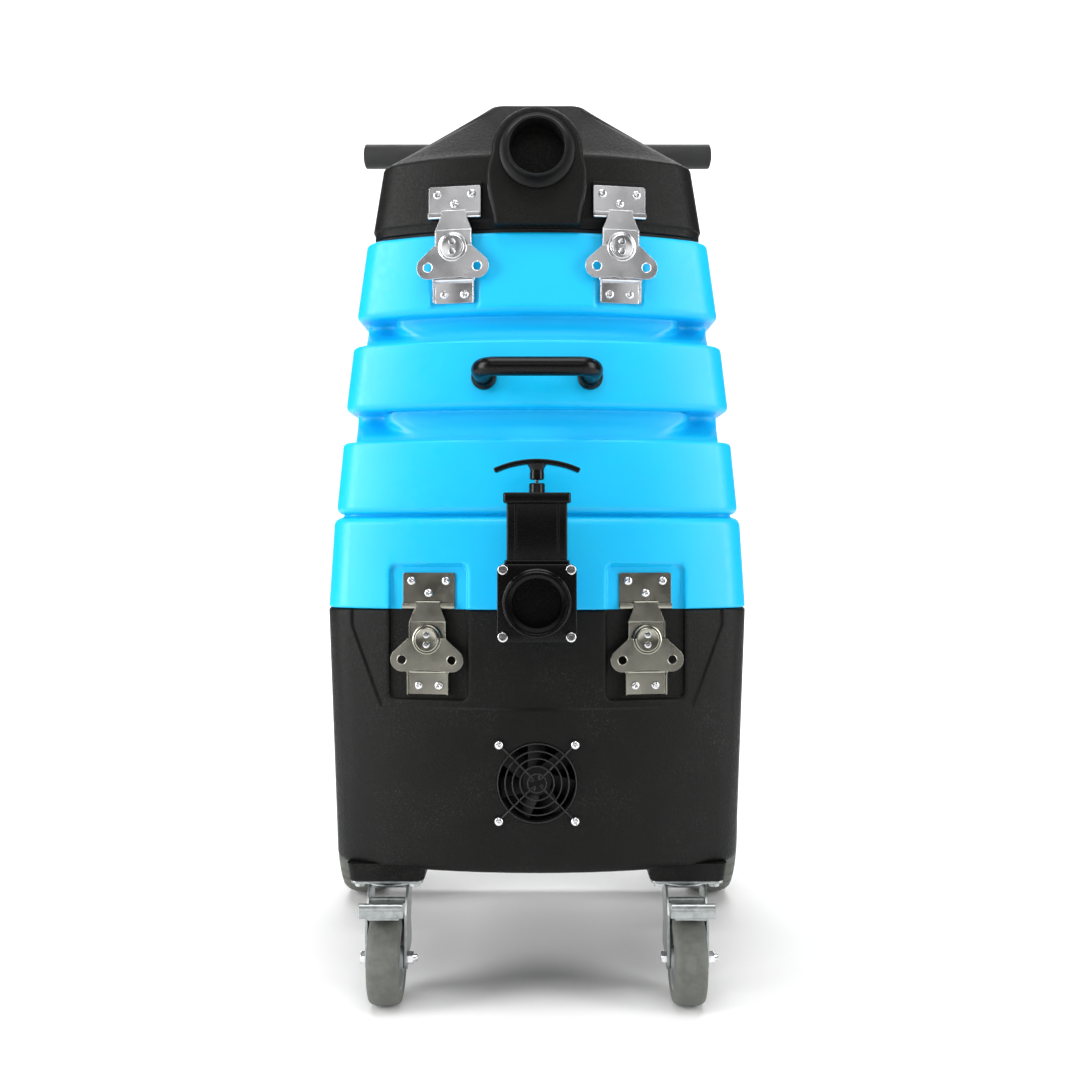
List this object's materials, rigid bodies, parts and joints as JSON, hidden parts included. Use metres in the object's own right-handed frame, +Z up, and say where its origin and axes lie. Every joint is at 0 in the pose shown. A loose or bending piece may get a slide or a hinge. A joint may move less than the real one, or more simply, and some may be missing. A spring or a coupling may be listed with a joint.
{
  "type": "portable carpet extractor",
  "caption": "Upright carpet cleaning machine: black wheeled base, ribbed cyan tank that tilts back, black lid with hose inlet, latches, drain valve and push bar.",
  "frame": {"origin": "on the floor, under the middle of the machine's box", "axes": "+Z up, front towards -Y, +X to the right of a person who faces the front"},
  "size_m": [0.556, 0.71, 1.1317],
  "materials": {
    "black_shell": "rotomoulded polyethylene with a fine leather texture, satin",
    "cyan_shell": "rotomoulded polyethylene, smooth satin",
    "black_moulded": "injection moulded plastic, satin",
    "black_gloss": "injection moulded plastic, glossy",
    "black_wire": "black coated wire",
    "rubber": "matt foam rubber",
    "grip": "soft satin grip",
    "painted_tube": "black powder coat",
    "plated_steel": "nickel plated pressed steel, bright",
    "zinc": "zinc plated steel",
    "grey_rubber": "grey non-marking rubber",
    "cast_metal": "cast, matt",
    "white_pipe": "extruded PVC",
    "red_plastic": "moulded rocker"
  },
  "bodies": {
    "base": {"base_housing": "black_shell", "castor_plate_left": "zinc", "castor_plate_right": "zinc", "rear_axle": "zinc", "fan_frame": "black_moulded", "fan_guard": "black_wire", "vac_motor": "cast_metal", "solution_pump": "cast_metal", "switch_panel": "black_moulded", "power_inlet": "black_moulded", "lower_left_mount": "plated_steel", "lower_right_mount": "plated_steel", "tank_hinge_leaf_base": "zinc"},
    "tank": {"tank_shell": "cyan_shell", "standpipe": "white_pipe", "grab_handle": "black_gloss", "valve_body": "black_gloss", "valve_bonnet": "black_gloss", "handle_upright_left": "painted_tube", "handle_upright_right": "painted_tube", "push_bar": "grip", "tank_hinge_leaf_tank": "zinc", "upper_left_mount": "plated_steel", "upper_right_mount": "plated_steel", "lower_left_keeper": "plated_steel", "lower_right_keeper": "plated_steel", "lid_hinge_leaf_tank": "zinc"},
    "lid": {"lid_shell": "black_shell", "inlet_tube": "black_moulded", "upper_left_keeper": "plated_steel", "upper_right_keeper": "plated_steel", "lid_hinge_leaf_lid": "zinc", "lid_gasket": "rubber"},
    "gate": {"gate_blade": "plated_steel", "gate_handle": "black_gloss"},
    "fan": {"fan_rotor": "black_moulded"},
    "vacuum_rocker": {"rocker_vacuum": "red_plastic"},
    "pump_rocker": {"rocker_pump": "red_plastic"},
    "lower_left_arm": {"lower_left_arm": "plated_steel"},
    "lower_left_hook": {"lower_left_link": "plated_steel"},
    "lower_left_wing": {"lower_left_butterfly": "plated_steel"},
    "upper_left_arm": {"upper_left_arm": "plated_steel"},
    "upper_left_hook": {"upper_left_link": "plated_steel"},
    "upper_left_wing": {"upper_left_butterfly": "plated_steel"},
    "castor_fork_left": {"castor_fork_left": "zinc", "castor_axle_left": "zinc"},
    "castor_wheel_left": {"castor_wheel_left": "grey_rubber"},
    "brake_left": {"brake_pedal_left": "zinc"},
    "rear_wheel_left": {"rear_wheel_left": "grey_rubber"},
    "lower_right_arm": {"lower_right_arm": "plated_steel"},
    "lower_right_hook": {"lower_right_link": "plated_steel"},
    "lower_right_wing": {"lower_right_butterfly": "plated_steel"},
    "upper_right_arm": {"upper_right_arm": "plated_steel"},
    "upper_right_hook": {"upper_right_link": "plated_steel"},
    "upper_right_wing": {"upper_right_butterfly": "plated_steel"},
    "castor_fork_right": {"castor_fork_right": "zinc", "castor_axle_right": "zinc"},
    "castor_wheel_right": {"castor_wheel_right": "grey_rubber"},
    "brake_right": {"brake_pedal_right": "zinc"},
    "rear_wheel_right": {"rear_wheel_right": "grey_rubber"}
  },
  "joints": [
    {"name": "tank_tilt", "type": "hinge", "parent": "base", "child": "tank", "pos_m": [0, 0.2915, 0.4396], "axis": [-1, 0, 0], "range_deg": [0, 75]},
    {"name": "lid_open", "type": "hinge", "parent": "tank", "child": "lid", "pos_m": [0, 0.2915, 0.8596], "axis": [-1, 0, 0], "range_deg": [0, 50]},
    {"name": "gate_lift", "type": "slide", "parent": "tank", "child": "gate", "axis": [0, 0, 1], "range_m": [0, 0.057]},
    {"name": "fan_spin", "type": "hinge", "parent": "base", "child": "fan", "pos_m": [0, -0.25, 0.2527], "axis": [0, 1, 0], "continuous": true},
    {"name": "lower_left_swing", "type": "hinge", "parent": "base", "child": "lower_left_arm", "pos_m": [-0.11946, -0.25188, 0.3715], "axis": [0.9848, -0.1736, 0], "range_deg": [0, 47]},
    {"name": "lower_left_turn", "type": "hinge", "parent": "lower_left_arm", "child": "lower_left_wing", "pos_m": [-0.12024, -0.25631, 0.4065], "axis": [0.1736, 0.9848, 0], "range_deg": [0, 180]},
    {"name": "lower_left_draw", "type": "slide", "parent": "lower_left_arm", "child": "lower_left_hook", "axis": [0, 0, 1], "range_m": [0, 0.003]},
    {"name": "upper_left_swing", "type": "hinge", "parent": "tank", "child": "upper_left_arm", "pos_m": [-0.09205, -0.2402, 0.803], "axis": [0.9816, -0.1908, 0], "range_deg": [0, 47]},
    {"name": "upper_left_turn", "type": "hinge", "parent": "upper_left_arm", "child": "upper_left_wing", "pos_m": [-0.09291, -0.24462, 0.838], "axis": [0.1908, 0.9816, 0], "range_deg": [0, 180]},
    {"name": "upper_left_draw", "type": "slide", "parent": "upper_left_arm", "child": "upper_left_hook", "axis": [0, 0, 1], "range_m": [0, 0.003]},
    {"name": "castor_swivel_left", "type": "hinge", "parent": "base", "child": "castor_fork_left", "pos_m": [-0.167, -0.192, 0.1295], "axis": [0, 0, 1], "continuous": true},
    {"name": "castor_roll_left", "type": "hinge", "parent": "castor_fork_left", "child": "castor_wheel_left", "pos_m": [-0.167, -0.23, 0.0508], "axis": [1, 0, 0], "continuous": true},
    {"name": "brake_press_left", "type": "hinge", "parent": "castor_fork_left", "child": "brake_left", "pos_m": [-0.167, -0.222, 0.1125], "axis": [1, 0, 0], "range_deg": [0, 8.5]},
    {"name": "rear_wheel_roll_left", "type": "hinge", "parent": "base", "child": "rear_wheel_left", "pos_m": [-0.247, 0.228, 0.127], "axis": [1, 0, 0], "continuous": true},
    {"name": "lower_right_swing", "type": "hinge", "parent": "base", "child": "lower_right_arm", "pos_m": [0.11946, -0.25188, 0.3715], "axis": [0.9848, 0.1736, 0], "range_deg": [0, 47]},
    {"name": "lower_right_turn", "type": "hinge", "parent": "lower_right_arm", "child": "lower_right_wing", "pos_m": [0.12024, -0.25631, 0.4065], "axis": [-0.1736, 0.9848, 0], "range_deg": [0, 180]},
    {"name": "lower_right_draw", "type": "slide", "parent": "lower_right_arm", "child": "lower_right_hook", "axis": [0, 0, 1], "range_m": [0, 0.003]},
    {"name": "upper_right_swing", "type": "hinge", "parent": "tank", "child": "upper_right_arm", "pos_m": [0.09205, -0.2402, 0.803], "axis": [0.9816, 0.1908, 0], "range_deg": [0, 47]},
    {"name": "upper_right_turn", "type": "hinge", "parent": "upper_right_arm", "child": "upper_right_wing", "pos_m": [0.09291, -0.24462, 0.838], "axis": [-0.1908, 0.9816, 0], "range_deg": [0, 180]},
    {"name": "upper_right_draw", "type": "slide", "parent": "upper_right_arm", "child": "upper_right_hook", "axis": [0, 0, 1], "range_m": [0, 0.003]},
    {"name": "castor_swivel_right", "type": "hinge", "parent": "base", "child": "castor_fork_right", "pos_m": [0.167, -0.192, 0.1295], "axis": [0, 0, 1], "continuous": true},
    {"name": "castor_roll_right", "type": "hinge", "parent": "castor_fork_right", "child": "castor_wheel_right", "pos_m": [0.167, -0.23, 0.0508], "axis": [1, 0, 0], "continuous": true},
    {"name": "brake_press_right", "type": "hinge", "parent": "castor_fork_right", "child": "brake_right", "pos_m": [0.167, -0.222, 0.1125], "axis": [1, 0, 0], "range_deg": [0, 8.5]},
    {"name": "rear_wheel_roll_right", "type": "hinge", "parent": "base", "child": "rear_wheel_right", "pos_m": [0.247, 0.228, 0.127], "axis": [1, 0, 0], "continuous": true},
    {"name": "vacuum_rocker_press", "type": "hinge", "parent": "base", "child": "vacuum_rocker", "pos_m": [-0.06, 0.2813, 0.3525], "axis": [1, 0, 0], "range_deg": [0, 17]},
    {"name": "pump_rocker_press", "type": "hinge", "parent": "base", "child": "pump_rocker", "pos_m": [-0.025, 0.2813, 0.3525], "axis": [1, 0, 0], "range_deg": [0, 17]}
  ],
  "couplings": [
    {"joint": "lower_left_draw", "follows": "lower_left_turn", "m_per_rad": 0.000954},
    {"joint": "upper_left_draw", "follows": "upper_left_turn", "m_per_rad": 0.000954},
    {"joint": "lower_right_draw", "follows": "lower_right_turn", "m_per_rad": 0.000954},
    {"joint": "upper_right_draw", "follows": "upper_right_turn", "m_per_rad": 0.000954}
  ]
}
